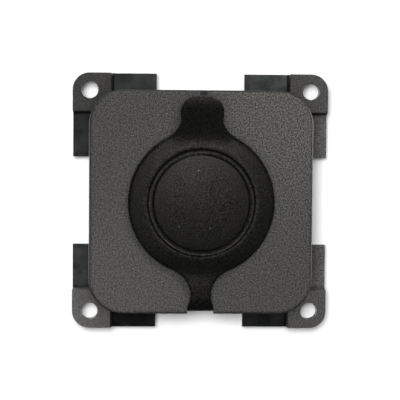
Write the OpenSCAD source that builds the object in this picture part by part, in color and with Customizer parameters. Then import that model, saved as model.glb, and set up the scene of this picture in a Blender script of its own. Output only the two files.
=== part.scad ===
// Flush-mounting 12 volt power socket: a square module plate, a screwed-in socket and a hinged soft cap.
// Each piece is drawn with the socket's axis along Z and its mouth facing +Z, Y up the panel, and
// Z = 0 on the panel. in_place() then lays the whole part over, so that the mouth faces -Y.

/* [Plate] */
// Width and height of the raised plate
plate_w = 52; // [50:0.5:53]
// Height of the plate's face above the panel
plate_h = 8.5; // [7.5:0.25:11]
// Radius of the plate's corners
plate_corner = 8; // [6:0.5:9]
// Round on the edge of the plate's face
plate_edge = 1; // [0.5:0.1:1.4]
// Thickness of the plate's side walls
plate_wall = 2; // [1.6:0.1:2.6]
// Thickness of the plate's face
face_t = 2.2; // [1.8:0.1:3]
// Thickness of the ribs behind the face
rib_t = 1.2; // [0.8:0.1:2]
// Depth that the ribs stand behind the face
rib_h = 3.2; // [1:0.1:4]

/* [Ears and flanges] */
// Overall width and height of the module
module_w = 60; // [59:0.5:64]
// Distance between the screw holes, both ways
hole_pitch = 52; // [51:0.5:54]
// Diameter of the screw holes
hole_d = 4; // [3:0.1:4.6]
// Width of an ear, from the module's outer edge
ear_w = 9; // [8.5:0.1:11]
// Thickness of the ears
ear_t = 3; // [2.5:0.1:4]
// Radius of the ears' outer corners
ear_corner = 4; // [2:0.5:5]
// Width of the slope from an ear down to a flange
ear_slope = 0.6; // [0.3:0.1:1.2]
// Thickness of the flanges between the ears
flange_t = 1.3; // [1:0.1:2]
// Free width between the two flanges of one side
flange_gap = 20.7; // [16:0.1:26]
// Distance that the flanges stay behind the ears' outer edge
flange_inset = 0.1; // [0:0.05:0.5]

/* [Cap] */
// Diameter of the cap
cap_d = 34; // [33:0.5:36]
// Thickness of the cap
cap_t = 2; // [1.6:0.1:3]
// Height of the cap's crown, from its rim to its middle
cap_crown = 0.5; // [0.2:0.1:0.8]
// Round on the cap's edge
cap_edge = 0.7; // [0.3:0.1:0.9]
// Inner diameter of the ring groove in the cap's face
groove_d = 22.1; // [18:0.2:25]
// Width of the ring groove
groove_w = 1.3; // [0.8:0.1:2]
// Depth of the ring groove
groove_h = 0.5; // [0.2:0.1:0.9]
// Depth of the cap's plug in the socket
plug_h = 3.4; // [2:0.1:4]
// Wall of the hollow plug
plug_wall = 1.6; // [1:0.1:2.5]
// Taper of the plug, on its radius
plug_taper = 0.2; // [0:0.05:0.5]
// Width of the pull tab
tab_w = 10; // [8:0.5:14]
// Distance from the socket's axis to the tip of the tab
tab_reach = 24.9; // [23.5:0.1:26]
// Radius of the tab's corners
tab_corner = 3.7; // [2:0.1:3.9]
// Thickness of the tab
tab_t = 1.8; // [1.5:0.1:2.2]
// Angle at which the tab stands off the plate
tab_lift = 12; // [4:1:18]
// Radius between the tab and the cap
tab_blend = 6; // [4:0.5:8]

/* [Strap and hinge] */
// Narrowest width of the strap
strap_w = 4.6; // [4:0.1:5.2]
// Thickness of the strap
strap_t = 1.5; // [1.2:0.1:1.8]
// Radius of the strap's hollow sides
strap_blend = 6.5; // [5:0.5:8]
// Diameter of the hinge bar at the strap's end
bar_d = 1.8; // [1.4:0.1:2]
// Length of the hinge bar
bar_l = 9.2; // [8.6:0.1:10]
// Depth of the hinge axis behind the plate's face
hinge_drop = 2; // [1.8:0.1:2.4]
// Distance from the plate's lower side in to the hinge axis
hinge_inset = 1.55; // [1.4:0.05:1.8]
// Width of the notch for the strap
notch_w = 6.2; // [5.8:0.1:7]
// Wall around the hinge pocket
pocket_wall = 1.2; // [0.8:0.1:1.6]
// Thickness of the lip of the plate's face beside the strap
notch_lip = 0.8; // [0.4:0.1:0.9]

/* [Socket body] */
// Bore of the contact sleeve, which takes the plug
bore_d = 21.45; // [21:0.05:22]
// Sheet thickness of the contact sleeve
sleeve_t = 0.5; // [0.4:0.05:0.7]
// Wall of the socket body
body_wall = 2.7; // [2.2:0.1:3.2]
// Depth from the mouth to the floor of the socket body
body_depth = 39.5; // [36:0.5:44]
// Thickness of the socket body's floor
floor_t = 3; // [2:0.2:4]
// Distance that the rim behind the floor stands out
rear_rim_h = 1.6; // [0.8:0.1:3]
// Thickness of that rim
rear_rim_t = 1.2; // [0.8:0.1:1.5]
// Distance that the socket's front flange stands out all round
lip_w = 1.6; // [1.2:0.1:1.9]
// Thickness of the front flange
lip_t = 1.5; // [1:0.1:2]
// Chamfer at the mouth
mouth_chamfer = 0.8; // [0.4:0.1:1.2]
// Thickness of the gasket under the flange
gasket_t = 0.5; // [0.3:0.1:1]
// Width of the key that stops the socket from turning
key_w = 2; // [1.5:0.1:3]
// Height of the key
key_h = 0.9; // [0.5:0.1:1.1]

/* [Ring nut] */
// Thickness of the ring nut
nut_t = 6; // [4:0.5:9]
// Width of the ring nut's rim, from its thread
nut_rim = 3.2; // [2.4:0.1:4]
// Number of finger grooves round the ring nut
nut_grooves = 16; // [8:1:20]
// Depth of the finger grooves
nut_groove_h = 0.7; // [0.3:0.1:1]
// Thickness of the steel washer under the ring nut
nut_washer_t = 0.8; // [0.5:0.1:1.5]

/* [Contacts] */
// Distance from the mouth to the sleeve's front edge
sleeve_start = 5; // [4.6:0.1:7]
// Length of the plain stretch of the sleeve before its bead
sleeve_guide = 9.5; // [7:0.5:12]
// Width of the rolled bead in the sleeve
bead_w = 1.6; // [1:0.1:2.4]
// Distance that the bead stands into the bore
bead_h = 0.2; // [0.1:0.02:0.24]
// Number of spring tongues in the sleeve
tongue_count = 4; // [2:1:6]
// Width of a spring tongue, as an angle round the sleeve
tongue_angle = 24; // [14:1:30]
// Length of a spring tongue
tongue_l = 13; // [8:0.5:15]
// Distance that a tongue's tip stands into the bore
tongue_bend = 0.6; // [0.2:0.1:1]
// Width of the cut beside and before each tongue
tongue_slit = 0.9; // [0.5:0.1:1.5]
// Diameter of the centre contact's head
button_d = 8; // [6:0.2:9]
// Height of the centre contact's head
button_h = 1.8; // [1:0.1:3]
// Diameter of the centre contact's stud
stud_d = 4; // [3:0.5:4]
// Diameter of the insulating bush's shoulder
bush_d = 11; // [10:0.2:11.4]
// Thickness of the bush's shoulder
bush_t = 1.2; // [0.8:0.1:2]
// Wall of the bush's neck
bush_wall = 1.8; // [1:0.1:2]

/* [Terminals] */
// Width of a blade terminal
blade_w = 6.3; // [4.8:0.1:6.3]
// Thickness of a blade terminal
blade_t = 0.8; // [0.5:0.1:1]
// Free length of a blade
blade_l = 9.5; // [7:0.5:12]
// Diameter of the hole through a blade's tip
blade_hole_d = 1.7; // [1:0.1:2]
// Chamfer at a blade's tip
blade_chamfer = 1; // [0.4:0.1:1.2]
// Distance from the socket's axis to the positive blade
positive_at = 6.6; // [6.2:0.1:8]
// Distance from the socket's axis to the negative blade
negative_at = 11.2; // [10.8:0.1:11.6]
// Distance from the socket's axis to the rivet
rivet_at = 8; // [7.8:0.05:8.2]
// Diameter of the rivet
rivet_d = 2.6; // [2:0.1:3]
// Diameter of the rivet's heads
rivet_head_d = 4; // [3.6:0.1:4.1]
// Height of the rivet's heads
rivet_head_h = 0.7; // [0.4:0.1:1]
// Thickness of the plain washer on the stud
washer_t = 0.8; // [0.5:0.1:1]
// Thickness of the lock washer
lock_t = 0.9; // [0.6:0.1:1.2]
// Width of the stud's nut across its flats
hex_w = 7; // [6:0.5:7]
// Thickness of the stud's nut
hex_t = 3.2; // [2:0.2:4]
// Length of the stud past its nut
stud_end = 1.4; // [0.5:0.1:3]

/* [Clearances] */
// Gap between the closed cap and the plate
cap_gap = 0.1; // [0.05:0.05:0.2]
// Clearance between the cap's plug and the mouth, on the radius
plug_clear = 0.25; // [0.2:0.05:0.4]
// Clearance between the hinge bar and its pockets, on the radius
hinge_clear = 0.06; // [0.03:0.01:0.1]
// Clearance at each end of the hinge bar
bar_end_clear = 0.15; // [0.1:0.05:0.3]
// Clearance between the strap and the sides and floor of its notch
strap_clear = 0.15; // [0.1:0.05:0.3]
// Clearance between the socket body and the plate, on the radius
body_clear = 0.15; // [0.1:0.05:0.3]
// Clearance on each side of the key
key_clear = 0.1; // [0.05:0.05:0.2]
// Clearance of the ring nut and the small pieces on what they go over, on the radius
fit_clear = 0.1; // [0.05:0.05:0.2]
// Clearance between the sleeve and the socket body, on the radius
sleeve_clear = 0.05; // [0.03:0.01:0.1]

/* [Hidden] */
$fn = 64;

// How far a cut runs past the face that it opens
over = 0.5;
plate_half = plate_w / 2;
module_half = module_w / 2;
hole_at = hole_pitch / 2;
ear_at = module_half - ear_w;
flange_edge = module_half - flange_inset;
plate_inner = plate_half - plate_wall;
face_back = plate_h - face_t;

// Socket body, from the bore outwards and from the mouth backwards
bore_r = bore_d / 2;
sleeve_r = bore_r + sleeve_t;
cavity_r = sleeve_r + sleeve_clear;
body_r = cavity_r + body_wall;
lip_r = body_r + lip_w;
lip_back = plate_h - lip_t;
seat_z = lip_back - gasket_t;
floor_z = plate_h - body_depth;
rear_z = floor_z - floor_t;
sleeve_z = plate_h - sleeve_start;
sleeve_floor = floor_z + sleeve_t;
bead_z = sleeve_z - sleeve_guide;
tongue_top = bead_z - bead_w - tongue_slit;

// Collar of the plate round the socket body
body_hole_r = body_r + body_clear;
seat_r = lip_r + body_clear;
collar_wall = 2.6;
collar_r = seat_r + collar_wall;
collar_z = face_back - rib_h - rib_t;

// Cap, strap and hinge
cap_r = cap_d / 2;
cap_z = plate_h + cap_gap;
cap_top = cap_z + cap_t;
groove_drop = cap_crown * pow(groove_d / cap_d, 2);
plug_r = cavity_r - plug_clear;
strap_top = cap_z + strap_t;
hinge_y = -plate_half + hinge_inset;
hinge_z = plate_h - hinge_drop;
bar_r = bar_d / 2;
strap_end = hinge_y - bar_r;
notch_half = notch_w / 2;
notch_floor = 2 * hinge_z - strap_top - strap_clear;
bend_outer = strap_top - hinge_z - bar_r * 0.7;
bend_y = strap_end + bend_outer;
bend_z = strap_top - bend_outer;
notch_back = bend_y + strap_clear;
strap_side_x = strap_w / 2 + strap_blend;
strap_side_y = sqrt(pow(cap_r + strap_blend, 2) - pow(strap_side_x, 2));
pocket_half = bar_l / 2 + bar_end_clear + pocket_wall;

// Stack on the stud, from the socket's floor backwards
stud_r = stud_d / 2;
neck_r = stud_r + fit_clear + bush_wall;
neck_hole_r = neck_r + fit_clear;
washer_z = rear_z - washer_t;
eyelet_z = washer_z - blade_t;
lock_z = eyelet_z - lock_t;
hex_z = lock_z - hex_t;
blade_tip = rear_z - blade_t - blade_l;

// Lays the part over: the socket's mouth, drawn towards +Z, comes to face -Y
module in_place() {
    rotate([90, 0, 0]) children();
}

// Repeats its children on the four corners or sides of the square module
module quarters() {
    for (turn = [0:90:270]) {
        rotate(turn) children();
    }
}

// Square with round corners, as a flat outline
module rounded_square(half, corner) {
    inner = half - corner;
    square([2 * half, 2 * inner], center = true);
    square([2 * inner, 2 * half], center = true);
    for (x = [-inner, inner], y = [-inner, inner]) {
        translate([x, y]) circle(corner);
    }
}

// Sweeps a profile round the outline of a rounded square; the profile's x = 0 runs on that outline
module sweep_round(half, corner) {
    inner = half - corner;
    quarters() {
        translate([inner, inner, 0]) rotate_extrude(angle = 90) translate([corner, 0]) children();
        translate([half, inner, 0]) rotate([90, 0, 0]) linear_extrude(2 * inner) children();
    }
}

// Rectangle whose outer top corner, at x = 0 and y = h, is rounded
module edge_profile(w, h, r) {
    difference() {
        translate([-w, 0]) square([w, h]);
        difference() {
            translate([-r, h - r]) square(r + over);
            translate([-r, h - r]) circle(r);
        }
    }
}

// Half section of a crowned disc, h high in the middle, whose edge is rounded into the crown
module crowned_disc(r, h, crown, edge) {
    ball_r = (r * r + crown * crown) / (2 * crown);
    ball_y = h - ball_r;
    round_x = r - edge;
    round_y = ball_y + sqrt(pow(ball_r - edge, 2) - pow(round_x, 2));
    intersection() {
        square([r, h]);
        translate([0, ball_y]) circle(ball_r, $fn = 720);
        union() {
            square([round_x * ball_r / (ball_r - edge), h]);
            square([r, round_y]);
            translate([round_x, round_y]) circle(edge);
        }
    }
}

// Plain ring between two radii
module ring(inner_r, outer_r, z, h) {
    translate([0, 0, z]) difference() {
        cylinder(r = outer_r, h = h);
        translate([0, 0, -over]) cylinder(r = inner_r, h = h + 2 * over);
    }
}

// One corner ear with the slopes down to its two flanges
module ear() {
    linear_extrude(ear_t) intersection() {
        rounded_square(module_half, ear_corner);
        translate([ear_at, ear_at]) square(ear_w + over);
    }
    for (side = [0, 1]) {
        mirror([side, -side, 0]) ear_ramp();
    }
}

// Slope on an ear's side, across the whole width of the flange
module ear_ramp() {
    translate([0, flange_edge, 0]) rotate([90, 0, 0]) linear_extrude(flange_edge - plate_inner) polygon([
        [ear_at - ear_slope, 0],
        [ear_at + over, 0],
        [ear_at + over, ear_t],
        [ear_at, ear_t],
        [ear_at - ear_slope, flange_t]
    ]);
}

// The two flanges beside one ear
module ear_flanges() {
    for (side = [0, 1]) {
        mirror([side, -side, 0]) translate([flange_gap / 2, plate_inner, 0])
            cube([ear_at - flange_gap / 2, flange_edge - plate_inner, flange_t]);
    }
}

// Walls, face, ears and flanges, before anything is cut
module plate_shell() {
    difference() {
        union() {
            sweep_round(plate_half, plate_corner) edge_profile(plate_wall, plate_h, plate_edge);
            quarters() {
                ear();
                ear_flanges();
            }
        }
        translate([0, 0, -over]) linear_extrude(plate_h)
            rounded_square(plate_inner, plate_corner - plate_wall);
    }
    translate([0, 0, face_back]) linear_extrude(face_t)
        rounded_square(plate_half - plate_edge, plate_corner - plate_edge);
}

// Collar round the socket, with ribs out to the walls and corners
module collar_and_ribs() {
    intersection() {
        union() {
            translate([0, 0, collar_z]) cylinder(r = collar_r, h = face_back - collar_z + over);
            for (turn = [0:45:315]) {
                rotate(turn) translate([0, -rib_t / 2, face_back - rib_h])
                    cube([2 * plate_half, rib_t, rib_h + over]);
            }
        }
        linear_extrude(plate_h) rounded_square(plate_half - plate_wall / 2, plate_corner - plate_wall / 2);
    }
}

// Block behind the notch that carries the hinge bar
module hinge_block() {
    block_z = notch_floor - pocket_wall;
    translate([-pocket_half, -plate_half + plate_edge, block_z])
        cube([2 * pocket_half, notch_back + pocket_wall + plate_half - plate_edge, face_back + over - block_z]);
}

// Notch for the strap, with a lip that follows the strap's sides, and the two blind pockets for its bar
module hinge_cuts() {
    notch_l = notch_back + plate_half + over;
    translate([-notch_half, -plate_half - over, notch_floor])
        cube([notch_w, notch_l, plate_h - notch_lip - notch_floor]);
    translate([0, 0, plate_h - notch_lip - over]) linear_extrude(plate_h) difference() {
        translate([-notch_half, -plate_half - over]) square([notch_w, notch_l]);
        strap_sides(strap_blend - strap_clear);
    }
    pocket_l = bar_l + 2 * bar_end_clear;
    translate([-pocket_l / 2, hinge_y, hinge_z]) rotate([0, 90, 0]) cylinder(r = bar_r + hinge_clear, h = pocket_l);
}

// Hole, flange seat and keyway for the socket body
module socket_cuts() {
    translate([0, 0, collar_z - over]) cylinder(r = body_hole_r, h = plate_h);
    translate([0, 0, seat_z]) cylinder(r = seat_r, h = plate_h);
    slot_w = key_w + 2 * key_clear;
    translate([-slot_w / 2, -body_r - key_h - body_clear, collar_z - over]) cube([slot_w, body_r, plate_h]);
}

module module_plate() {
    color([0.30, 0.30, 0.29]) in_place() difference() {
        union() {
            plate_shell();
            collar_and_ribs();
            hinge_block();
        }
        socket_cuts();
        hinge_cuts();
        quarters() {
            translate([hole_at, hole_at, -over]) cylinder(d = hole_d, h = ear_t + 2 * over);
        }
    }
}

// Round of the cap with its ring groove and hollow plug
module cap_disc() {
    rotate_extrude() difference() {
        union() {
            translate([0, cap_z]) crowned_disc(cap_r, cap_t, cap_crown, cap_edge);
            polygon([
                [0, cap_z - plug_h],
                [plug_r - plug_taper, cap_z - plug_h],
                [plug_r, cap_z],
                [plug_r, cap_z + cap_t / 2],
                [0, cap_z + cap_t / 2]
            ]);
        }
        translate([groove_d / 2, cap_top - groove_drop - groove_h]) square([groove_w, cap_t]);
        translate([-over, cap_z - plug_h - over]) square([plug_r - plug_taper - plug_wall + over, plug_h + over]);
    }
}

// Flat outline that blends a neck of half width w into the cap along hollow sides of radius r
module blend_outline(w, r) {
    x = w + r;
    y = sqrt(pow(cap_r + r, 2) - x * x);
    foot = cap_r / (cap_r + r);
    difference() {
        translate([-x * foot, y * foot - over]) square([2 * x * foot, y - y * foot + over]);
        translate([-x, y]) circle(r);
        translate([x, y]) circle(r);
    }
}

// Pull tab, tilted about the line where it leaves the cap and cut flush with the cap's underside
module pull_tab() {
    half = tab_w / 2;
    centre_y = tab_reach - tab_corner;
    root_y = sqrt(pow(cap_r, 2) - pow(half + tab_blend, 2) * pow(cap_r / (cap_r + tab_blend), 2));
    round_t = tab_t / 2;
    root_z = cap_top - cap_crown * pow(root_y / cap_r, 2);
    intersection() {
        translate([-cap_r, 0, cap_z]) cube(cap_d);
        translate([0, root_y, root_z - tab_t]) rotate([tab_lift, 0, 0]) translate([0, -root_y, 0]) {
            linear_extrude(tab_t) intersection() {
                blend_outline(half - round_t / 2, tab_blend);
                translate([-cap_r, 0]) square([cap_d, centre_y]);
            }
            hull() {
                for (x = [tab_corner - half, half - tab_corner]) {
                    translate([x, centre_y, round_t]) rotate_extrude($fn = 32)
                        translate([tab_corner - round_t, 0]) circle(round_t, $fn = 16);
                }
                for (x = [round_t - half, half - round_t]) {
                    translate([x, root_y + tab_corner, round_t]) rotate([90, 0, 0])
                        cylinder(r = round_t, h = tab_corner, $fn = 16);
                }
            }
        }
    }
}

// Side view of the strap: flat off the cap, bent over the plate's edge, down to the hinge bar
module strap_side() {
    bend_inner = bend_outer - strap_t;
    translate([bend_y, cap_z]) square([-cap_r / 2 - bend_y, strap_t]);
    intersection() {
        translate([bend_y, bend_z]) difference() {
            circle(bend_outer);
            circle(bend_inner);
        }
        translate([strap_end - over, bend_z]) square([bend_y - strap_end + over, bend_outer + over]);
    }
    translate([strap_end, hinge_z]) square([strap_t, bend_z - hinge_z]);
}

// The two circles that hollow the strap's sides, touching the cap's edge; the plate's lip follows them
module strap_sides(r) {
    for (x = [-strap_side_x, strap_side_x]) {
        translate([x, -strap_side_y]) circle(r);
    }
}

// Strap, narrowed by its hollow sides
module strap() {
    foot_half = strap_side_x * cap_r / (cap_r + strap_blend);
    hem_half = notch_half - strap_clear;
    intersection() {
        translate([-cap_r, 0, 0]) rotate([90, 0, 90]) linear_extrude(cap_d) strap_side();
        linear_extrude(cap_top) difference() {
            union() {
                translate([-foot_half, -strap_side_y]) square([2 * foot_half, strap_side_y - cap_r / 2]);
                translate([-hem_half, -plate_half]) square([2 * hem_half, plate_half - strap_side_y + over]);
            }
            strap_sides(strap_blend);
        }
    }
}

module cap() {
    color([0.12, 0.12, 0.12]) in_place() {
        cap_disc();
        pull_tab();
        strap();
        translate([-bar_l / 2, hinge_y, hinge_z]) rotate([0, 90, 0]) cylinder(r = bar_r, h = bar_l);
    }
}

module socket_body() {
    color([0.13, 0.13, 0.14]) in_place() difference() {
        union() {
            rotate_extrude() difference() {
                translate([0, rear_z - rear_rim_h]) square([body_r, plate_h - rear_z + rear_rim_h - lip_t / 2]);
                translate([-over, rear_z - rear_rim_h - over]) square([body_r - rear_rim_t + over, rear_rim_h + over]);
            }
            translate([0, 0, lip_back]) cylinder(r = lip_r, h = lip_t);
            translate([-key_w / 2, -body_r - key_h, collar_z])
                cube([key_w, body_r, lip_back - collar_z + lip_t / 2]);
        }
        translate([0, 0, floor_z]) cylinder(r = cavity_r, h = body_depth + over);
        translate([0, 0, plate_h - mouth_chamfer])
            cylinder(r1 = cavity_r, r2 = cavity_r + mouth_chamfer + over, h = mouth_chamfer + over);
        translate([0, 0, rear_z - over]) cylinder(r = neck_hole_r, h = floor_t + 2 * over);
        translate([0, -rivet_at, rear_z - over]) cylinder(d = rivet_d + fit_clear, h = floor_t + 2 * over);
    }
}

module flange_gasket() {
    color([0.10, 0.10, 0.10]) in_place() difference() {
        ring(body_hole_r, lip_r, seat_z, gasket_t);
        slot_w = key_w + 2 * key_clear;
        translate([-slot_w / 2, -body_r - key_h - body_clear, seat_z - over])
            cube([slot_w, body_r, gasket_t + 2 * over]);
    }
}

module ring_nut() {
    color([0.14, 0.14, 0.15]) in_place() {
        top_z = collar_z - nut_washer_t;
        outer_r = body_r + nut_rim;
        difference() {
            ring(body_r + fit_clear, outer_r, top_z - nut_t, nut_t);
            for (k = [0:nut_grooves - 1]) {
                rotate(360 * k / nut_grooves) translate([outer_r + nut_groove_h, 0, top_z - nut_t - over])
                    cylinder(r = 2 * nut_groove_h, h = nut_t - nut_groove_h + over, $fn = 24);
            }
        }
    }
}

module ring_nut_washer() {
    color([0.72, 0.72, 0.74]) in_place()
        ring(body_r + fit_clear, collar_r - collar_wall / 2, collar_z - nut_washer_t, nut_washer_t);
}

// Side view of the drawn sleeve: wall with its rolled bead, and the floor
module sleeve_profile() {
    bead_arc_r = (pow(bead_w / 2, 2) + bead_h * bead_h) / (2 * bead_h);
    difference() {
        union() {
            translate([bore_r, floor_z]) square([sleeve_t, sleeve_z - floor_z]);
            translate([neck_hole_r, floor_z]) square([bore_r + sleeve_t - neck_hole_r, sleeve_t]);
            intersection() {
                translate([bore_r - bead_h + bead_arc_r, bead_z - bead_w / 2]) circle(bead_arc_r);
                translate([bore_r - bead_h - over, bead_z - bead_w - over])
                    square([bead_h + over + sleeve_t / 2, bead_w + 2 * over]);
            }
        }
        translate([sleeve_r - bead_h + bead_arc_r, bead_z - bead_w / 2]) circle(bead_arc_r);
    }
}

// Opening round one tongue, or with no slit the tongue's own wedge
module tongue_sector(slit) {
    slit_angle = slit / bore_r * 180 / PI;
    start = -tongue_angle / 2 - slit_angle;
    translate([0, 0, tongue_top - tongue_l]) rotate(start) rotate_extrude(angle = tongue_angle + 2 * slit_angle)
        translate([bore_r - over, 0]) square([sleeve_t + 2 * over, tongue_l + slit]);
}

// Spring tongue, rooted in the lower end of its opening and bent into the bore at its tip
module tongue() {
    skin = sleeve_t / 10;
    inner_r = bore_r + skin;
    outer_r = sleeve_r - skin;
    crest = -1.2 * tongue_bend;
    rotate(-tongue_angle / 2) rotate_extrude(angle = tongue_angle) translate([0, tongue_top]) polygon([
        [inner_r, -tongue_l - sleeve_t],
        [outer_r, -tongue_l - sleeve_t],
        [outer_r - tongue_bend, crest],
        [outer_r, 0],
        [inner_r, 0],
        [inner_r - tongue_bend, crest]
    ]);
}

module contact_sleeve() {
    color([0.78, 0.76, 0.70]) in_place() {
        difference() {
            rotate_extrude() sleeve_profile();
            for (k = [0:tongue_count - 1]) {
                rotate(360 * k / tongue_count) tongue_sector(tongue_slit);
            }
            translate([0, -rivet_at, floor_z - over]) cylinder(d = rivet_d + fit_clear, h = sleeve_t + 2 * over);
        }
        for (k = [0:tongue_count - 1]) {
            rotate(360 * k / tongue_count) tongue();
        }
    }
}

module insulating_bush() {
    color([0.45, 0.25, 0.13]) in_place() difference() {
        union() {
            translate([0, 0, sleeve_floor]) cylinder(d = bush_d, h = bush_t);
            translate([0, 0, rear_z]) cylinder(r = neck_r, h = sleeve_floor - rear_z + bush_t / 2);
        }
        translate([0, 0, rear_z - over]) cylinder(r = stud_r + fit_clear, h = floor_t + sleeve_t + bush_t + 2 * over);
    }
}

// Domed head on a plain stud
module centre_contact() {
    color([0.80, 0.78, 0.72]) in_place() {
        head_z = sleeve_floor + bush_t;
        rotate_extrude() translate([0, head_z]) crowned_disc(button_d / 2, button_h, button_h / 3, button_h / 3);
        translate([0, 0, hex_z - stud_end]) cylinder(r = stud_r, h = head_z - hex_z + stud_end + button_h / 2);
    }
}

module stud_washer() {
    color([0.45, 0.25, 0.13]) in_place() ring(stud_r + fit_clear, neck_r + bush_wall / 2, washer_z, washer_t);
}

// Blade terminal: a foot flat on the socket's rear, bent back into the blade at y = at
module blade(at, foot_start, foot_z) {
    inner_bend = blade_t / 2;
    bend = inner_bend + blade_t;
    translate([-blade_w / 2, 0, 0]) rotate([90, 0, 90]) linear_extrude(blade_w) {
        translate([foot_start, foot_z]) square([at - bend + blade_t / 2 - foot_start, blade_t]);
        intersection() {
            translate([at + blade_t / 2 - bend, foot_z + blade_t - bend]) difference() {
                circle(bend);
                circle(inner_bend);
            }
            translate([at + blade_t / 2 - bend, foot_z + blade_t - bend]) square(bend + over);
        }
    }
    difference() {
        translate([0, at + blade_t / 2, 0]) rotate([90, 0, 0]) linear_extrude(blade_t) polygon([
            [-blade_w / 2, foot_z + blade_t - bend],
            [blade_w / 2, foot_z + blade_t - bend],
            [blade_w / 2, blade_tip + blade_chamfer],
            [blade_w / 2 - blade_chamfer, blade_tip],
            [blade_chamfer - blade_w / 2, blade_tip],
            [-blade_w / 2, blade_tip + blade_chamfer]
        ]);
        translate([0, at + blade_t, blade_tip + blade_l / 3]) rotate([90, 0, 0])
            cylinder(d = blade_hole_d, h = 2 * blade_t, $fn = 32);
    }
}

module positive_terminal() {
    color([0.80, 0.66, 0.30]) in_place() difference() {
        union() {
            blade(positive_at, 0, eyelet_z);
            translate([0, 0, eyelet_z]) cylinder(r = neck_r + bush_wall / 2, h = blade_t);
        }
        translate([0, 0, eyelet_z - over]) cylinder(r = stud_r + fit_clear, h = blade_t + 2 * over);
    }
}

// Split spring washer
module lock_washer() {
    color([0.72, 0.72, 0.74]) in_place() difference() {
        ring(stud_r + fit_clear, hex_w / 2, lock_z, lock_t);
        rotate(90) translate([0, -lock_t / 4, lock_z - over]) cube([hex_w, lock_t / 2, lock_t + 2 * over]);
    }
}

module stud_nut() {
    color([0.75, 0.75, 0.77]) in_place() difference() {
        translate([0, 0, hex_z]) rotate(30) cylinder(r = hex_w / sqrt(3), h = hex_t, $fn = 6);
        translate([0, 0, hex_z - over]) cylinder(r = stud_r + fit_clear / 2, h = hex_t + 2 * over);
    }
}

// Riveted blade, drawn on the +Y side and turned to the socket's lower side
module negative_terminal() {
    foot_start = rivet_at - rivet_head_d / 2 - fit_clear;
    color([0.80, 0.66, 0.30]) in_place() rotate(180) difference() {
        blade(negative_at, foot_start, rear_z - blade_t);
        translate([0, rivet_at, rear_z - blade_t - over]) cylinder(d = rivet_d + fit_clear, h = blade_t + 2 * over);
    }
}

module rivet() {
    tail_z = rear_z - blade_t;
    color([0.74, 0.72, 0.66]) in_place() translate([0, -rivet_at, 0]) {
        translate([0, 0, tail_z - rivet_head_h / 2])
            cylinder(d = rivet_d, h = sleeve_floor - tail_z + rivet_head_h);
        translate([0, 0, sleeve_floor]) cylinder(d = rivet_head_d, h = rivet_head_h);
        translate([0, 0, tail_z - rivet_head_h]) cylinder(d = rivet_head_d, h = rivet_head_h);
    }
}

module_plate();
cap();
socket_body();
flange_gasket();
ring_nut();
ring_nut_washer();
contact_sleeve();
insulating_bush();
centre_contact();
stud_washer();
positive_terminal();
lock_washer();
stud_nut();
negative_terminal();
rivet();
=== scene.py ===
import math

import bmesh
import bpy
from mathutils import Matrix, Vector


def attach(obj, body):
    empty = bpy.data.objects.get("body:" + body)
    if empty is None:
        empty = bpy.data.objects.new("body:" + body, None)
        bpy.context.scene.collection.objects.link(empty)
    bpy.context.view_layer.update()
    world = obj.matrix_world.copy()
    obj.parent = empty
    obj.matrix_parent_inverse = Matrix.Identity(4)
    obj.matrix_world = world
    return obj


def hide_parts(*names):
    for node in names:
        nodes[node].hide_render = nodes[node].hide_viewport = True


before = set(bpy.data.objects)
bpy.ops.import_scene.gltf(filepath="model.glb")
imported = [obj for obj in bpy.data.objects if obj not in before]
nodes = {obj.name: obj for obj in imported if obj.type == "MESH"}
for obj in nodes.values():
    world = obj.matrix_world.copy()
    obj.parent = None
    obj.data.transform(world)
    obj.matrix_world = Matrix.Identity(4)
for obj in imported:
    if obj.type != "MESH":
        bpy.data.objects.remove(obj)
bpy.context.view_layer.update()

mm = 0.001


# Small helpers for pieces

def makePiece(name, bm, body, material, stoodFor):
    mesh = bpy.data.meshes.new(name)
    bm.to_mesh(mesh)
    bm.free()
    piece = bpy.data.objects.new(name, mesh)
    bpy.context.scene.collection.objects.link(piece)
    for polygon in mesh.polygons:
        polygon.use_smooth = True
    mesh.materials.append(material)
    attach(piece, body)
    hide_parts(stoodFor)
    smooth = piece.modifiers.new("smooth", "WEIGHTED_NORMAL")
    smooth.keep_sharp = False


softEdge = {
    "weldMm": 0.002,
    "flatAngle": 0.4,
    "sharpAngle": 28,
    "faceWeight": 60,
}


def softenEdges(piece, width, segments):
    weld = piece.modifiers.new("weld", "WELD")
    weld.merge_threshold = softEdge["weldMm"] * mm
    flat = piece.modifiers.new("flat", "DECIMATE")
    flat.decimate_type = "DISSOLVE"
    flat.angle_limit = math.radians(softEdge["flatAngle"])
    bevel = piece.modifiers.new("bevel", "BEVEL")
    bevel.limit_method = "ANGLE"
    bevel.angle_limit = math.radians(softEdge["sharpAngle"])
    bevel.width = width * mm
    bevel.segments = segments
    bevel.use_clamp_overlap = True
    smooth = piece.modifiers.new("smooth", "WEIGHTED_NORMAL")
    smooth.weight = softEdge["faceWeight"]
    smooth.keep_sharp = False


def dress(node, material, softMm=0, segments=1):
    piece = nodes[node]
    piece.data.materials.clear()
    piece.data.materials.append(material)
    if softMm:
        for polygon in piece.data.polygons:
            polygon.use_smooth = True
        softenEdges(piece, softMm, segments)


# Node groups shared by the materials

def newGroup(name, inputs, outputs):
    group = bpy.data.node_groups.new(name, "ShaderNodeTree")
    for label, value in inputs:
        socket = group.interface.new_socket(name=label, in_out="INPUT", socket_type="NodeSocketFloat")
        socket.default_value = value
    for label, kind in outputs:
        group.interface.new_socket(name=label, in_out="OUTPUT", socket_type=kind)
    return group, group.nodes.new("NodeGroupInput"), group.nodes.new("NodeGroupOutput")


def addNode(tree, kind, **settings):
    node = tree.nodes.new(kind)
    for name, value in settings.items():
        if name in node.inputs:
            node.inputs[name].default_value = value
        else:
            setattr(node, name, value)
    return node


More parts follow.
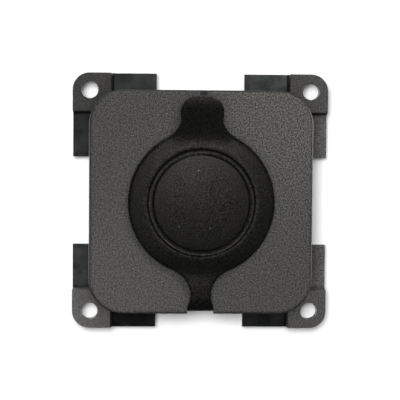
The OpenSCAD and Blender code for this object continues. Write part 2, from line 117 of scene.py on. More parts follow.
def addMath(tree, operation, first, second=None, third=None):
    node = tree.nodes.new("ShaderNodeMath")
    node.operation = operation
    for socket, value in zip(node.inputs, (first, second, third)):
        if value is None:
            continue
        if isinstance(value, (int, float)):
            socket.default_value = value
        else:
            tree.links.new(value, socket)
    return node.outputs[0]


def addRange(tree, value, fromMin, fromMax, toMin, toMax, smooth=False):
    node = tree.nodes.new("ShaderNodeMapRange")
    if smooth:
        node.interpolation_type = "SMOOTHSTEP"
    tree.links.new(value, node.inputs["Value"])
    for name, number in (("From Min", fromMin), ("From Max", fromMax), ("To Min", toMin), ("To Max", toMax)):
        node.inputs[name].default_value = number
    return node.outputs["Result"]


def addLength(tree, first, second):
    squares = [addMath(tree, "POWER", value, 2.0) for value in (first, second)]
    return addMath(tree, "SQRT", addMath(tree, "ADD", *squares))


mouldedGrain = {
    "cellShare": 0.4,
    "cellScale": 0.8,
    "speckleScale": 1.15,
    "speckleRange": (0.28, 0.72),
    "mottleRange": (0.3, 0.7),
}


def makeGrainGroup():
    group, given, out = newGroup("mouldedGrain", [("Size", 0.3), ("Mottle Size", 2.0)],
                                 [("Height", "NodeSocketFloat"), ("Speckle", "NodeSocketFloat"),
                                  ("Mottle", "NodeSocketFloat")])
    coord = addNode(group, "ShaderNodeTexCoord")
    perMm = addNode(group, "ShaderNodeVectorMath", operation="SCALE")
    perMm.inputs["Scale"].default_value = 1 / mm
    group.links.new(coord.outputs["Object"], perMm.inputs[0])
    grainScale = addMath(group, "DIVIDE", 1.0, given.outputs["Size"])
    pits = addNode(group, "ShaderNodeTexNoise", Detail=2.0, Roughness=0.6)
    group.links.new(perMm.outputs[0], pits.inputs["Vector"])
    group.links.new(grainScale, pits.inputs["Scale"])
    cells = addNode(group, "ShaderNodeTexVoronoi", feature="SMOOTH_F1", Smoothness=0.6)
    group.links.new(perMm.outputs[0], cells.inputs["Vector"])
    group.links.new(addMath(group, "MULTIPLY", grainScale, mouldedGrain["cellScale"]), cells.inputs["Scale"])
    cellShare = mouldedGrain["cellShare"]
    height = addMath(group, "ADD", addMath(group, "MULTIPLY", pits.outputs["Fac"], 1 - cellShare),
                     addMath(group, "MULTIPLY", cells.outputs["Distance"], cellShare))
    group.links.new(height, out.inputs["Height"])
    dots = addNode(group, "ShaderNodeTexNoise", Detail=1.0, Roughness=0.5)
    group.links.new(perMm.outputs[0], dots.inputs["Vector"])
    group.links.new(addMath(group, "MULTIPLY", grainScale, mouldedGrain["speckleScale"]), dots.inputs["Scale"])
    group.links.new(addRange(group, dots.outputs["Fac"], *mouldedGrain["speckleRange"], 0.0, 1.0),
                    out.inputs["Speckle"])
    clouds = addNode(group, "ShaderNodeTexNoise", Detail=3.0, Roughness=0.55)
    group.links.new(perMm.outputs[0], clouds.inputs["Vector"])
    group.links.new(addMath(group, "DIVIDE", 1.0, given.outputs["Mottle Size"]), clouds.inputs["Scale"])
    group.links.new(addRange(group, clouds.outputs["Fac"], *mouldedGrain["mottleRange"], 0.0, 1.0),
                    out.inputs["Mottle"])
    return group


grainGroup = makeGrainGroup()


def newMaterial(name, **values):
    material = bpy.data.materials.new(name)
    material.use_nodes = True
    tree = material.node_tree
    shader = tree.nodes["Principled BSDF"]
    for label, value in values.items():
        shader.inputs[label.replace("_", " ")].default_value = value
    return material, tree, shader


def mixColours(tree, factor, first, second):
    node = tree.nodes.new("ShaderNodeMix")
    node.data_type = "RGBA"
    tree.links.new(factor, node.inputs[0])
    for socket, colour in ((node.inputs[6], first), (node.inputs[7], second)):
        if isinstance(colour, tuple):
            socket.default_value = (*colour, 1)
        else:
            tree.links.new(colour, socket)
    return node.outputs[2]


def scaleColour(tree, colour, factor):
    node = addNode(tree, "ShaderNodeVectorMath", operation="SCALE")
    tree.links.new(colour, node.inputs[0])
    tree.links.new(factor, node.inputs["Scale"])
    return node.outputs[0]


def grain(tree, size, mottleSize):
    node = tree.nodes.new("ShaderNodeGroup")
    node.node_tree = grainGroup
    node.inputs["Size"].default_value = size
    node.inputs["Mottle Size"].default_value = mottleSize
    return node


def addBump(tree, shader, height, strength, distance):
    bump = addNode(tree, "ShaderNodeBump", Strength=strength, Distance=distance)
    tree.links.new(height, bump.inputs["Height"])
    tree.links.new(bump.outputs["Normal"], shader.inputs["Normal"])


# Finishes

# the gains by place stand in for the photograph's light, so they are tuned for this studio's lamps
platePlastic = {  # lengths in mm; a gain in two goes from left to right, or from the bottom up
    "dark": (0.0175, 0.0170, 0.0160),
    "light": (0.142, 0.1385, 0.1315),
    "grainMm": 0.39,
    "contrast": (0.95, 1.42),
    "roughness": 0.62,
    "gloss": 0.5,
    "bump": (0.5, 0.12),
    "faceHalf": 26.0,
    "faceCorner": 8.0,
    "rim": (-0.55, -0.15),
    "rimPaintedShade": (0.46, 0.32),
    "cornerPaintedLight": (0.12, 0.18),
    "crossPaintedShade": 0.87,
    "darkSpotAt": (0.45, 25.3, 0.7),
    "darkSpotGain": 0.2,
    "earGrain": 0.6,
    "topEarPaintedShade": (0.60, 0.84),
    "lowEarPaintedLight": (1.66, 1.07),
    "stepAt": 20.75,
    "stepPaintedShade": 0.35,
    "flangeFrom": 25.9,
    "flangeHalf": 20.9,
    "flangeDepth": ((-2.2, -1.6), (-1.0, -0.5)),
    "flangeDark": (0.0075, 0.0092, 0.0088),
    "flangeLight": (0.048, 0.0530, 0.0508),
    "flangeRoughness": 0.28,
    "flangeGloss": 0.15,
    "flangeBump": 0.12,
    "leftFlangePaintedLight": (1.50, 0.75),
    "topFlangePaintedLight": (0.80, 1.65),
    "rightFlangePaintedLight": (0.80, 1.40),
    "bottomFlangePaintedShade": 0.32,
}


def makePlatePlastic():
    given = platePlastic
    material, tree, shader = newMaterial("platePlastic")
    texture = grain(tree, given["grainMm"], 3.5)
    split = tree.nodes.new("ShaderNodeSeparateXYZ")
    coord = tree.nodes.new("ShaderNodeTexCoord")
    tree.links.new(coord.outputs["Object"], split.inputs[0])
    across, depth, up = split.outputs
    slant = addMath(tree, "ADD", across, up)
    reach = (addMath(tree, "ABSOLUTE", across), addMath(tree, "ABSOLUTE", up))
    # how far outside the face's rounded square, or inside where it is negative
    flat = (given["faceHalf"] - given["faceCorner"]) * mm
    past = [addMath(tree, "MAXIMUM", addMath(tree, "SUBTRACT", value, flat), 0.0) for value in reach]
    edge = addMath(tree, "SUBTRACT", addLength(tree, *past), given["faceCorner"] * mm)
    ear = addRange(tree, edge, 0.04 * mm, 0.10 * mm, 0.0, 1.0)
    # the grain stands out most towards the upper right, and least on the ears
    contrast = addMath(tree, "MULTIPLY", addRange(tree, slant, -30 * mm, 30 * mm, *given["contrast"]),
                       addRange(tree, ear, 0.0, 1.0, 1.0, given["earGrain"]))
    grainy = addMath(tree, "MULTIPLY_ADD", addMath(tree, "SUBTRACT", texture.outputs["Speckle"], 0.5), contrast, 0.5)
    coarse = mixColours(tree, grainy, given["dark"], given["light"])
    smooth = mixColours(tree, texture.outputs["Mottle"], given["flangeDark"], given["flangeLight"])
    outside = [addMath(tree, "GREATER_THAN", value, given["flangeFrom"] * mm) for value in reach]
    between = [addMath(tree, "LESS_THAN", value, given["flangeHalf"] * mm) for value in reach]
    side = addMath(tree, "MAXIMUM", addMath(tree, "MULTIPLY", outside[0], between[1]),
                   addMath(tree, "MULTIPLY", outside[1], between[0]))
    (inFront, frontFull), (backFull, behind) = ((a * mm, b * mm) for a, b in given["flangeDepth"])
    step = addMath(tree, "MULTIPLY", addRange(tree, depth, inFront, frontFull, 0.0, 1.0),
                   addRange(tree, depth, backFull, behind, 1.0, 0.0))
    flange = addMath(tree, "MULTIPLY", side, step)
    # the flanges' tones by place: grey and grained on the right, with painted light and shade that makes the right
    # ones lighter outwards, the top and bottom ones lighter to the right, the left ones lighter towards the bottom,
    # and the bottom ones near black
    below = addRange(tree, up, -26.5 * mm, -25.5 * mm, given["bottomFlangePaintedShade"], 1.0)
    right = addMath(tree, "MULTIPLY", addRange(tree, across, 25.5 * mm, 26.0 * mm, 0.0, 1.0), between[1])
    outward = addRange(tree, across, 26 * mm, 29 * mm, *given["rightFlangePaintedLight"])
    overTop = addRange(tree, across, -15 * mm, 15 * mm, *given["topFlangePaintedLight"])
    overLeft = addRange(tree, up, -15 * mm, 15 * mm, *given["leftFlangePaintedLight"])
    flangePaintedLight = addMath(tree, "MULTIPLY", below, addMath(
        tree, "MULTIPLY_ADD", outside[1], addMath(tree, "SUBTRACT", overTop, overLeft), overLeft))
    flangeTone = mixColours(tree, right, scaleColour(tree, smooth, flangePaintedLight), scaleColour(tree, coarse, outward))
    # painted light and shade: the upper ears are painted darker and the lower ones lighter, each by its own gain, and
    # the face is painted darker where it rounds down to its border
    high, low = (addRange(tree, across, -26 * mm, 26 * mm, *given[name]) for name in ("topEarPaintedShade", "lowEarPaintedLight"))
    upper = addRange(tree, up, -4 * mm, 4 * mm, 0.0, 1.0)
    earPaintedLight = addMath(tree, "MULTIPLY_ADD", upper, addMath(tree, "SUBTRACT", high, low), low)
    start, end = given["rim"]
    rimDepth = addRange(tree, up, -26 * mm, -20 * mm, *(gain - 1 for gain in given["rimPaintedShade"]))
    nearEdge = addRange(tree, edge, start * mm, end * mm, 0.0, 1.0, smooth=True)
    rim = addMath(tree, "MULTIPLY_ADD", nearEdge, rimDepth, 1.0)
    # painted light and shade: the face is painted lighter towards its lower left and upper right corners, and darker
    # towards its upper left and lower right ones
    lowCorner, highCorner = given["cornerPaintedLight"]
    corners = addMath(tree, "ADD", addRange(tree, slant, -42 * mm, -14 * mm, 1 + lowCorner, 1.0, smooth=True),
                      addRange(tree, slant, 14 * mm, 42 * mm, 0.0, highCorner, smooth=True))
    cross = addRange(tree, addMath(tree, "ABSOLUTE", addMath(tree, "SUBTRACT", across, up)), 10 * mm, 36 * mm,
                     1.0, given["crossPaintedShade"])
    face = addMath(tree, "MULTIPLY", rim, addMath(tree, "MULTIPLY", corners, cross))
    gain = addMath(tree, "MULTIPLY_ADD", ear, addMath(tree, "SUBTRACT", earPaintedLight, face), face)
    # a small dark mark above the tab, wider than it is high, taken for the mould's gate
    markX, markZ, markR = (value * mm for value in given["darkSpotAt"])
    offX = addMath(tree, "MULTIPLY", addMath(tree, "SUBTRACT", across, markX), 0.6)
    spotReach = addLength(tree, offX, addMath(tree, "SUBTRACT", up, markZ))
    spotted = addMath(tree, "MULTIPLY", gain, addRange(tree, spotReach, markR / 2, markR, given["darkSpotGain"], 1.0))
    faceTone = scaleColour(tree, coarse, spotted)
    # painted shade: dark lines where the ears step down to the flanges, but for the steps that face up
    steps = [addRange(tree, addMath(tree, "ABSOLUTE", addMath(tree, "SUBTRACT", value, given["stepAt"] * mm)),
                      0.2 * mm, 0.5 * mm, 1.0, 0.0) for value in reach]
    ledge = addMath(tree, "MULTIPLY", addMath(tree, "MULTIPLY", steps[1], outside[0]), upper)
    line = addMath(tree, "MAXIMUM", ledge, addMath(tree, "MULTIPLY", steps[0], outside[1]))
    stepShadeTone = addRange(tree, line, 0.0, 1.0, 1.0, given["stepPaintedShade"])
    tone = scaleColour(tree, mixColours(tree, flange, faceTone, flangeTone), stepShadeTone)
    tree.links.new(tone, shader.inputs["Base Color"])
    tree.links.new(addRange(tree, flange, 0.0, 1.0, given["roughness"], given["flangeRoughness"]),
                   shader.inputs["Roughness"])
    tree.links.new(addRange(tree, flange, 0.0, 1.0, given["gloss"], given["flangeGloss"]),
                   shader.inputs["Specular IOR Level"])
    height = addMath(tree, "MULTIPLY", texture.outputs["Height"],
                     addRange(tree, flange, 0.0, 1.0, 1.0, given["flangeBump"]))
    strength, distance = given["bump"]
    addBump(tree, shader, height, strength, distance * mm)
    return material


capRubber = {  # lengths in mm; glossDown pairs a height on the cap with its gain
    "base": (0.0006, 0.0006, 0.0006),
    "pale": (0.0095, 0.0095, 0.0092),
    "dust": (0.38, 0.38, 0.36),
    "grainMm": 0.3,
    "roughness": 0.28,
    "glossRange": (0.16, 0.72),
    "glossTint": (1.0, 0.955, 0.90),
    "glossDown": ((-24.5, 0.40), (-22.5, 1.05), (-18.5, 1.9), (-16.6, 0.85), (-14.5, 0.36), (-8.0, 1.0), (14.5, 1.0),
                  (19.0, 0.98), (21.5, 1.05), (23.3, 1.7)),
    "grooveFloor": (11.25, 11.45, 12.10, 12.30),
    "grooveGain": (0.9, -0.15),
    "crossPaintedShade": 0.74,
    "dustCellMm": 3.2,
    "dustMm": 0.21,
    "dustChance": 0.65,
}


def makeCapRubber():
    given = capRubber
    material, tree, shader = newMaterial("capRubber", Specular_Tint=(*given["glossTint"], 1))
    texture = grain(tree, given["grainMm"], 5.0)
    moulded = mixColours(tree, texture.outputs["Speckle"], given["base"], given["pale"])
    # a stray bright speck in some cells
    coord = tree.nodes.new("ShaderNodeTexCoord")
    cells = addNode(tree, "ShaderNodeTexVoronoi", Scale=1 / (given["dustCellMm"] * mm))
    tree.links.new(coord.outputs["Object"], cells.inputs["Vector"])
    chance = tree.nodes.new("ShaderNodeSeparateColor")
    tree.links.new(cells.outputs["Color"], chance.inputs[0])
    near = addMath(tree, "LESS_THAN", cells.outputs["Distance"], given["dustMm"] / 2 / given["dustCellMm"])
    chosen = addMath(tree, "GREATER_THAN", chance.outputs[0], 1 - given["dustChance"])
    speck = addMath(tree, "MULTIPLY", near, chosen)
    tree.links.new(mixColours(tree, speck, moulded, given["dust"]), shader.inputs["Base Color"])
    tree.links.new(addRange(tree, texture.outputs["Mottle"], 0.0, 1.0, given["roughness"] - 0.012,
                            given["roughness"] + 0.012), shader.inputs["Roughness"])
    split = tree.nodes.new("ShaderNodeSeparateXYZ")
    tree.links.new(coord.outputs["Object"], split.inputs[0])
    # painted sheen: its gloss by height, from the strap up to the tab, is tuned for this studio's lamps too
    (low, gain), *rest = given["glossDown"]
    glossByPlace = gain
    for high, nextGain in rest:
        step = addRange(tree, split.outputs["Z"], low * mm, high * mm, 0.0, nextGain - gain, smooth=True)
        glossByPlace = addMath(tree, "ADD", step, glossByPlace)
        low, gain = high, nextGain
    # painted sheen: the groove's floor shines more towards the bottom, and the ring least at its upper left and lower
    # right
    radius = addLength(tree, split.outputs["X"], split.outputs["Z"])
    inner, innerFull, outerFull, outer = (value * mm for value in given["grooveFloor"])
    within = addMath(tree, "MULTIPLY", addRange(tree, radius, inner, innerFull, 0.0, 1.0),
                     addRange(tree, radius, outerFull, outer, 1.0, 0.0))
    shine = addRange(tree, split.outputs["Z"], -12 * mm, 12 * mm, *given["grooveGain"])
    glossByPlace = addMath(tree, "MULTIPLY", glossByPlace, addMath(tree, "MULTIPLY_ADD", within, shine, 1.0))
    across = addMath(tree, "ABSOLUTE", addMath(tree, "SUBTRACT", split.outputs["X"], split.outputs["Z"]))
    glossByPlace = addMath(tree, "MULTIPLY", glossByPlace, addRange(tree, across, 13 * mm, 21 * mm, 1.0, given["crossPaintedShade"]))
    gloss = addRange(tree, texture.outputs["Speckle"], 0.0, 1.0, *given["glossRange"])
    tree.links.new(addMath(tree, "MULTIPLY", gloss, glossByPlace), shader.inputs["Specular IOR Level"])
    addBump(tree, shader, texture.outputs["Height"], 0.6, 0.04 * mm)
    return material


def makePlainPlastic(name, base, pale, roughness, grainMm, bump):
    material, tree, shader = newMaterial(name)
    texture = grain(tree, grainMm, 7.0)
    tree.links.new(mixColours(tree, texture.outputs["Mottle"], base, pale), shader.inputs["Base Color"])
    tree.links.new(addRange(tree, texture.outputs["Mottle"], 0.0, 1.0, roughness - 0.04, roughness + 0.05),
                   shader.inputs["Roughness"])
    addBump(tree, shader, texture.outputs["Height"], bump, 0.04 * mm)
    return material


def makeMetal(name, base, pale, roughness, grainMm, bump):
    material, tree, shader = newMaterial(name, Metallic=1.0)
    texture = grain(tree, grainMm, 3.0)
    tree.links.new(mixColours(tree, texture.outputs["Mottle"], base, pale), shader.inputs["Base Color"])
    tree.links.new(addRange(tree, texture.outputs["Speckle"], 0.0, 1.0, roughness - 0.05, roughness + 0.07),
                   shader.inputs["Roughness"])
    addBump(tree, shader, texture.outputs["Height"], bump, 0.02 * mm)
    return material


finishes = {
    "plate": makePlatePlastic(),
    "cap": makeCapRubber(),
    "body": makePlainPlastic("bodyPlastic", (0.012, 0.012, 0.013), (0.019, 0.019, 0.020), 0.40, 0.25, 0.25),
    "gasket": makePlainPlastic("gasketRubber", (0.010, 0.010, 0.010), (0.016, 0.016, 0.016), 0.75, 0.2, 0.3),
    "zinc": makeMetal("zincSteel", (0.55, 0.57, 0.60), (0.66, 0.67, 0.69), 0.32, 0.2, 0.15),
    "nickel": makeMetal("nickelBrass", (0.34, 0.32, 0.28), (0.46, 0.44, 0.39), 0.36, 0.25, 0.15),
    "phenolic": makePlainPlastic("phenolic", (0.14, 0.055, 0.022), (0.24, 0.10, 0.042), 0.5, 0.25, 0.3),
    "brass": makeMetal("terminalBrass", (0.62, 0.44, 0.17), (0.73, 0.55, 0.25), 0.28, 0.2, 0.12),
}
print("finishes made")


# Pieces, with the width in mm and the steps of their softened edges

dress("module_plate", finishes["plate"], 0.15, 2)
dress("cap", finishes["cap"])
dress("socket_body", finishes["body"])
dress("flange_gasket", finishes["gasket"])
dress("ring_nut", finishes["body"], 0.3, 2)
dress("ring_nut_washer", finishes["zinc"], 0.08)
dress("contact_sleeve", finishes["nickel"])
dress("insulating_bush", finishes["phenolic"], 0.08)
dress("centre_contact", finishes["nickel"])
dress("stud_washer", finishes["phenolic"], 0.08)
dress("positive_terminal", finishes["brass"], 0.06)
dress("lock_washer", finishes["zinc"], 0.06)
dress("stud_nut", finishes["zinc"], 0.1)
dress("negative_terminal", finishes["brass"], 0.06)
dress("rivet", finishes["nickel"], 0.15, 2)
print("pieces dressed")


# The cap: a turned disc, a pull tab that curls up from it, and a strap bent down to its hinge bar

layOver = Matrix(((1, 0, 0, 0), (0, 0, -1, 0), (0, 1, 0, 0), (0, 0, 0, 1)))  # drawn mouth up, laid to face -Y

capForm = {  # mm, drawn face up with y towards the tab
    "radius": 17.0,
    "top": 10.6,
    "under": 8.6,
    "crownBall": 289.25,
    "rim": 0.7,
    "groove": ((10.95, 0), (11.27, 0.55), (12.2, 0.55), (12.54, 0)),
    "plug": ((11.025, 8.6), (10.825, 5.2), (9.225, 5.2), (9.225, 8.6)),
    "tabStart": 12.9,
    "tabBlend": 4.0,
    "tabSlope": 0.2126,
    "tabDroopStart": 20.8,
    "tabDroopBall": 22.0,
    "tabTip": (20.87, 3.62, 1.3, 3.7),
    "tabNeck": (20.44, 10.55, 6.0),
    "tabWaist": (4.8, 0.2),
    "tabSunk": 15.1,
    "tabThick": 1.7,
    "tabEdge": 0.5,
    "strapStart": 15.0,
    "strapTop": 10.1,
    "strapThick": 1.5,
    "strapNeck": (21.79, 8.8, 6.5),
    "strapSunk": 15.76,
    "strapHem": 2.95,
    "strapEdge": 0.2,
    "bend": (22.38, 7.13, 2.97),
    "bar": (24.45, 6.5, 0.9, 9.2),
}


def crownHeight(x, y):
    return capForm["top"] - (x * x + y * y) / (2 * capForm["crownBall"])


def easeStep(value):
    value = min(max(value, 0.0), 1.0)
    return value * value * (3 - 2 * value)


def tabHalfWidth(y):
    tipStart, tipReach, tipFlat, tipRound = capForm["tabTip"]
    if y > tipStart:
        return tipFlat + tipRound * math.sqrt(max(0.0, 1 - ((y - tipStart) / tipReach) ** 2))
    neckY, neckX, neckR = capForm["tabNeck"]
    waist, flare = capForm["tabWaist"]
    return max(neckX - math.sqrt(neckR ** 2 - min(y - neckY, 0) ** 2), waist + flare * easeStep((y - 18) / 3))


def tabHeight(x, y):
    given = capForm
    blendEnd = given["tabStart"] + given["tabBlend"]
    rise = given["tabSlope"] + blendEnd / given["crownBall"]
    t = min(y, blendEnd) - given["tabStart"]
    lift = rise * t * t / (2 * given["tabBlend"]) - 0.015 * (1 - easeStep(t / 0.6))
    height = crownHeight(x, min(y, blendEnd)) + lift + given["tabSlope"] * max(y - blendEnd, 0)
    edge = easeStep((abs(x) - tabHalfWidth(max(y, given["tabSunk"])) + 2.2) / 2) * (1 - easeStep((y - 14.6) / 1.8))
    droop = max(y - given["tabDroopStart"], 0) ** 2 / (2 * given["tabDroopBall"])
    return height - (lift + 0.05) * edge - droop


def strapHalfWidth(y):
    neckY, neckX, neckR = capForm["strapNeck"]
    side = neckX - math.sqrt(max(0.0, neckR ** 2 - (max(y, capForm["strapSunk"]) - neckY) ** 2))
    return min(side, capForm["strapHem"]) if y > neckY else side


def strapPoint(run, depth):
    bendY, bendZ, bendR = capForm["bend"]
    flat = bendY - capForm["strapStart"]
    arc = bendR * math.pi / 2
    if run < flat:
        return capForm["strapStart"] + run, capForm["strapTop"] - depth
    if run < flat + arc:
        turn = (run - flat) / bendR
        return bendY + (bendR - depth) * math.sin(turn), bendZ + (bendR - depth) * math.cos(turn)
    return bendY + bendR - depth, bendZ - (run - flat - arc)


def spinRings(bm, points, steps):
    verts = [bm.verts.new((r, 0, z)) for r, z in points]
    edges = [bm.edges.new(pair) for pair in zip(verts, verts[1:])]
    bmesh.ops.spin(bm, geom=verts + edges, cent=(0, 0, 0), axis=(0, 0, 1), angle=2 * math.pi, steps=steps,
                   use_merge=True)
    bmesh.ops.remove_doubles(bm, verts=bm.verts[:], dist=1e-4)
    bmesh.ops.recalc_face_normals(bm, faces=bm.faces[:])


def bevelSharp(bm, edges, offset, segments, sharpness=35):
    sharp = [e for e in edges if e.is_manifold and e.calc_face_angle() > math.radians(sharpness)]
    bmesh.ops.bevel(bm, geom=sharp, offset=offset, offset_type="OFFSET", segments=segments, profile=0.5,
                    affect="EDGES", material=-1, clamp_overlap=True)


def makeDisc():
    bm = bmesh.new()
    given = capForm
    rimX = given["radius"] - given["rim"]
    radii = [0, 2, 4, 6, 8, 9.6, *(r for r, depth in given["groove"]), 13.4, 14.6, 15.6, rimX]
    drops = dict(given["groove"])
    points = [(r, crownHeight(r, 0) - drops.get(r, 0)) for r in radii]
    for step in range(1, 6):
        turn = step * math.pi / 10
        points.append((rimX + given["rim"] * math.sin(turn),
                       crownHeight(rimX, 0) - given["rim"] * (1 - math.cos(turn))))
    spinRings(bm, points + [(given["radius"], given["under"]), *given["plug"], (0, given["under"])], 144)
    bevelSharp(bm, bm.edges[:], 0.06, 2)
    return bm


def thickSheet(rows, columns, place, under):
    bm = bmesh.new()
    bmesh.ops.create_grid(bm, x_segments=columns, y_segments=rows, size=1)
    low = bmesh.ops.extrude_face_region(bm, geom=bm.faces[:], use_keep_orig=True)["geom"]
    lower = {v for v in low if isinstance(v, bmesh.types.BMVert)}
    for v in bm.verts:
        v.co = (under if v in lower else place)(v.co.x, (v.co.y + 1) / 2)
    bmesh.ops.recalc_face_normals(bm, faces=bm.faces[:])
    return bm


def makeTab():
    given = capForm
    reach = sum(given["tabTip"][:2]) - given["tabStart"]

    def top(side, along):
        y = given["tabStart"] + reach * math.sin(along * math.pi / 2)
        x = side * tabHalfWidth(max(y, given["tabSunk"]))
        return x, y, tabHeight(x, y)

    def below(side, along):
        x, y, z = top(side, along)
        return x, y, max(z - given["tabThick"], given["under"] + 0.02)

    bm = thickSheet(44, 20, top, below)
    bevelSharp(bm, [e for e in bm.edges if max(v.co.y for v in e.verts) > 15.2], given["tabEdge"], 4, 50)
    return bm


def makeStrap():
    given = capForm
    bendY, bendZ, bendR = given["bend"]
    run = bendY - given["strapStart"] + bendR * math.pi / 2 + bendZ - given["bar"][1]

    def place(side, along, depth):
        y, z = strapPoint(along * run, depth)
        return side * strapHalfWidth(strapPoint(along * run, 0)[0]), -y, z

    bm = thickSheet(40, 8, lambda side, along: place(side, along, 0),
                    lambda side, along: place(side, along, given["strapThick"]))
    bevelSharp(bm, [e for e in bm.edges if min(v.co.y for v in e.verts) < -15.2], given["strapEdge"], 2, 50)
    barY, barZ, barR, barL = given["bar"]
    bar = bmesh.ops.create_cone(bm, cap_ends=True, segments=32, radius1=barR, radius2=barR, depth=barL,
                                matrix=Matrix.Translation((0, -barY, barZ)) @ Matrix.Rotation(math.pi / 2, 4, "Y"))
    bevelSharp(bm, list({e for v in bar["verts"] for e in v.link_edges}), 0.1, 2, 50)
    return bm


def joinParts(parts):
    joined = bmesh.new()
    for part in parts:
        mesh = bpy.data.meshes.new("part")
        part.to_mesh(mesh)
        part.free()
        joined.from_mesh(mesh)
        bpy.data.meshes.remove(mesh)
    bmesh.ops.transform(joined, matrix=Matrix.Scale(mm, 4) @ layOver, verts=joined.verts[:])
    return joined


makePiece("capMoulding", joinParts([makeDisc(), makeTab(), makeStrap()]), "cap", finishes["cap"],
          "cap")
print("cap made")


# Turned pieces whose fine threads are left to this script

bodyForm = {  # mm, as radius and height, drawn mouth up
    "barrel": 13.975,
    "thread": (1.5, -31.0),
    "pitch": 2.0,
    "depth": 0.4,
    "edge": 0.2,
    "mouth": ((4.0, -31), (11.275, -31), (11.275, 7.7), (12.075, 8.5), (15.575, 8.5), (15.575, 7.0)),
    "rear": ((13.975, -33.6), (13.975, -35.6), (12.775, -35.6), (12.775, -34), (4.0, -34)),
    "key": (2.0, 0.9, 1.9, 7.8),
}
studForm = {  # mm, drawn the same way
    "shank": 2.0,
    "thread": (-37.2, -40.7),
    "pitch": 0.7,
    "depth": 0.18,
    "edge": 0.06,
    "button": ((0, -27.5), (1.2, -27.553), (2.3, -27.696), (3.4, -27.931), (3.75, -28.12), (3.95, -28.4), (4.0, -28.7),
               (4.0, -29.3)),
    "tip": (1.55, -41.1),
}


def threadRings(form, radius, rowsPerTurn=8):
    high, low = form["thread"]
    rows = round((high - low) / form["pitch"] * rowsPerTurn)
    return [(radius, high + (low - high) * row / rows) for row in range(rows + 1)]


def cutThread(bm, form, radius):
    high, low = form["thread"]
    for v in bm.verts:
        if low < v.co.z < high and abs(v.co.xy.length - radius) < 1e-3:
            phase = v.co.z / form["pitch"] + math.atan2(v.co.y, v.co.x) / (2 * math.pi)
            groove = min(max(0.5 + 0.9 * math.cos(2 * math.pi * phase), 0), 1)
            runOut = min(1, (v.co.z - low) / form["pitch"], (high - v.co.z) / form["pitch"])
            v.co.xy *= 1 - form["depth"] * groove * runOut / radius


def plainEdges(bm, form):
    high, low = form["thread"]
    return [e for e in bm.edges if not any(low - 0.1 < v.co.z < high + 0.1 for v in e.verts)]


def turnForm(points, form, radius):
    bm = bmesh.new()
    spinRings(bm, points, 96)
    bevelSharp(bm, plainEdges(bm, form), form["edge"], 2)
    cutThread(bm, form, radius)
    return bm


def addKey(bm):
    width, height, low, high = bodyForm["key"]
    place = Matrix.Translation((0, -bodyForm["barrel"] - height / 2 + 0.2, (low + high) / 2))
    key = bmesh.ops.create_cube(bm, size=1, matrix=place @ Matrix.Diagonal((width, height + 0.4, high - low, 1)))
    bevelSharp(bm, list({e for v in key["verts"] for e in v.link_edges}), 0.2, 2)


def makeThreadedBody():
    barrel, mouth = bodyForm["barrel"], bodyForm["mouth"]
    points = [*mouth, (barrel, mouth[-1][1]), *threadRings(bodyForm, barrel), *bodyForm["rear"], mouth[0]]
    bm = turnForm(points, bodyForm, barrel)
    addKey(bm)
    makePiece("threadedBody", joinParts([bm]), "socket", finishes["body"], "socket_body")


def makeThreadedStud():
    shank, button = studForm["shank"], studForm["button"]
    tipR, tipZ = studForm["tip"]
    points = [*button, (shank, button[-1][1]), *threadRings(studForm, shank), (tipR, tipZ), (0, tipZ)]
    makePiece("threadedStud", joinParts([turnForm(points, studForm, shank)]), "socket",
              finishes["nickel"], "centre_contact")


makeThreadedBody()
makeThreadedStud()
print("threads cut")


# Camera, light and floor

studio = {  # metres and watts, but for the camera's mm and degrees
    "cameraTilt": (3.125, 2.811, -0.482),
    "cameraShift": (-0.132, -0.130),
    "cameraDistance": 350.0,
    "lens": 132.65,
    "roomGlow": 0.08,
    "fill": 0.03,
    "floor": (1.0, (0, -0.75, -0.088), 0.86),
    "wall": (0.050, (0, 0.0011, 0), 0.2),
    "wallHem": 0.0255,
    "wallDrop": 0.012,
    "wallTilt": 0.12,
    "wallLamp": ((-0.152, -0.80, 0.184), (0.34, 0.34), 33.5),
}
lamps = {  # place, size, watts, and whether gloss sees it
    "beauty": ((0.006, -0.45, 0.046), (0.09, 0.08), 0.092, True),
    "keyTop": ((-0.10, -0.22, 0.42), (0.25, 0.15), 0.59, True),
    "topRight": ((0.08, -0.15, 0.12), (0.06, 0.06), 0.11, False),
    "lowLeft": ((-0.07, -0.24, -0.18), (0.08, 0.08), 0.22, False),
    "front": ((-0.02, -0.40, 0.05), (0.30, 0.30), 0.50, False),
    "fillRight": ((0.30, -0.30, 0.0), (0.20, 0.30), 0.24, False),
    "fillLeft": ((-0.30, -0.30, 0.0), (0.20, 0.30), 0.03, False),
    "backLeft": ((-0.35, 0.45, 0.35), (0.3, 0.3), 4.0, True),
    "backRight": ((0.45, 0.42, 0.15), (0.3, 0.4), 4.0, True),
    "backLow": ((-0.30, 0.40, -0.05), (0.2, 0.3), 1.5, True),
}


def makeCamera():
    tiltX, tiltY, tiltZ = (math.radians(a) for a in studio["cameraTilt"])
    turn = Matrix.Rotation(tiltZ, 3, "Z") @ Matrix.Rotation(tiltX, 3, "X") @ Matrix.Rotation(tiltY, 3, "Y")
    shiftX, shiftY = studio["cameraShift"]
    local = turn.transposed() @ Vector((-shiftX, -shiftY, studio["cameraDistance"]))
    world = layOver @ turn.transposed().to_4x4()
    world.translation = layOver @ local * mm
    data = bpy.data.cameras.new("camera")
    data.lens = studio["lens"]
    data.sensor_width = 36
    data.clip_start, data.clip_end = 0.01, 20
    camera = bpy.data.objects.new("camera", data)
    bpy.context.scene.collection.objects.link(camera)
    camera.matrix_world = world
    bpy.context.scene.camera = camera


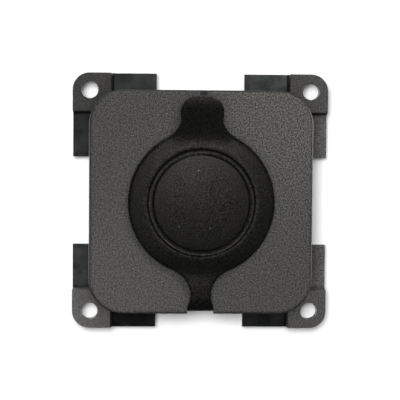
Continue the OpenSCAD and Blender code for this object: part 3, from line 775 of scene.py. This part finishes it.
def makeLamp(name, place, size, watts, gloss=True):
    data = bpy.data.lights.new(name, "AREA")
    data.shape = "RECTANGLE"
    data.size, data.size_y = size
    data.energy = watts
    lamp = bpy.data.objects.new(name, data)
    bpy.context.scene.collection.objects.link(lamp)
    lamp.visible_glossy = gloss
    lamp.location = place
    lamp.rotation_mode = "QUATERNION"
    lamp.rotation_quaternion = (-Vector(place)).to_track_quat("-Z", "Y")
    return lamp


def makeWorld():
    world = bpy.data.worlds.new("studio")
    bpy.context.scene.world = world
    world.use_nodes = True
    tree = world.node_tree
    tree.nodes.clear()
    path = tree.nodes.new("ShaderNodeLightPath")
    coord = tree.nodes.new("ShaderNodeTexCoord")
    split = tree.nodes.new("ShaderNodeSeparateXYZ")
    tree.links.new(coord.outputs["Generated"], split.inputs[0])
    # gloss sees the white sweep behind the part and a dim room on the lamps' side
    behind = addRange(tree, split.outputs["Y"], 0.0, 0.7, 0.0, 1.0, smooth=True)
    above = addRange(tree, split.outputs["Z"], -0.4, 0.5, 0.1, 0.6, smooth=True)
    sweep = addMath(tree, "MAXIMUM", addMath(tree, "MULTIPLY", behind, above), studio["roomGlow"])
    seen = addMath(tree, "MAXIMUM", path.outputs["Is Camera Ray"], path.outputs["Is Transmission Ray"])
    gloss = addMath(tree, "MULTIPLY", path.outputs["Is Glossy Ray"], sweep)
    matt = addMath(tree, "SUBTRACT", 1.0, path.outputs["Is Glossy Ray"])
    fill = addMath(tree, "MULTIPLY", matt, studio["fill"])
    strength = addMath(tree, "MAXIMUM", seen, addMath(tree, "ADD", gloss, fill))
    light = addNode(tree, "ShaderNodeBackground", Color=(1, 1, 1, 1))
    tree.links.new(strength, light.inputs["Strength"])
    out = tree.nodes.new("ShaderNodeOutputWorld")
    tree.links.new(light.outputs[0], out.inputs[0])


def makeSheet(name, bm, tone):
    mesh = bpy.data.meshes.new(name)
    bm.to_mesh(mesh)
    bm.free()
    sheet = bpy.data.objects.new(name, mesh)
    bpy.context.scene.collection.objects.link(sheet)
    material, tree, shader = newMaterial(name + "White", Roughness=0.9, Specular_IOR_Level=0.0)
    shader.inputs["Base Color"].default_value = (tone, tone, tone, 1)
    mesh.materials.append(material)
    # it takes shadows, but neither throws any nor lights the part
    sheet.visible_shadow = False
    sheet.visible_glossy = False
    sheet.visible_diffuse = False
    front = addMath(tree, "SUBTRACT", 1.0, tree.nodes.new("ShaderNodeNewGeometry").outputs["Backfacing"])
    tree.links.new(front, shader.inputs["Alpha"])  # seen from its front only
    return sheet, tree, shader, front


def makeFloor():
    half, place, tone = studio["floor"]
    bm = bmesh.new()
    bmesh.ops.create_grid(bm, x_segments=1, y_segments=1, size=half, matrix=Matrix.Translation(place))
    floor = makeSheet("floor", bm, tone)[0]
    floor.is_shadow_catcher = True


def makeWall():
    half, place, tone = studio["wall"]
    bm = bmesh.new()
    bmesh.ops.create_grid(bm, x_segments=1, y_segments=1, size=half,
                          matrix=Matrix.Translation(place) @ Matrix.Rotation(math.pi / 2, 4, "X"))
    middle = bm.faces[:]
    bmesh.ops.inset_individual(bm, faces=middle, thickness=studio["wallHem"], use_even_offset=True)
    bmesh.ops.delete(bm, geom=middle, context="FACES")
    bmesh.ops.translate(bm, verts=[v for v in bm.verts if v.co.z < -0.9 * half], vec=(0, 0, -studio["wallDrop"]))
    wall, tree, shader, front = makeSheet("wall", bm, tone)
    # there only when seen nearly square on
    tilt = addNode(tree, "ShaderNodeLayerWeight", Blend=0.5).outputs["Facing"]
    square = addMath(tree, "LESS_THAN", tilt, studio["wallTilt"])
    tree.links.new(addMath(tree, "MULTIPLY", square, front), shader.inputs["Alpha"])
    wallOnly = bpy.data.collections.new("wallOnly")
    wallOnly.objects.link(wall)
    lamp = makeLamp("onWall", *studio["wallLamp"], gloss=False)
    lamp.light_linking.receiver_collection = wallOnly


makeCamera()
makeWorld()
makeFloor()
makeWall()  # a sheet just behind the ears takes the photograph's tight shadow
for name, given in lamps.items():
    makeLamp(name, *given)
bpy.context.scene.view_settings.view_transform = "Standard"
print("studio set")
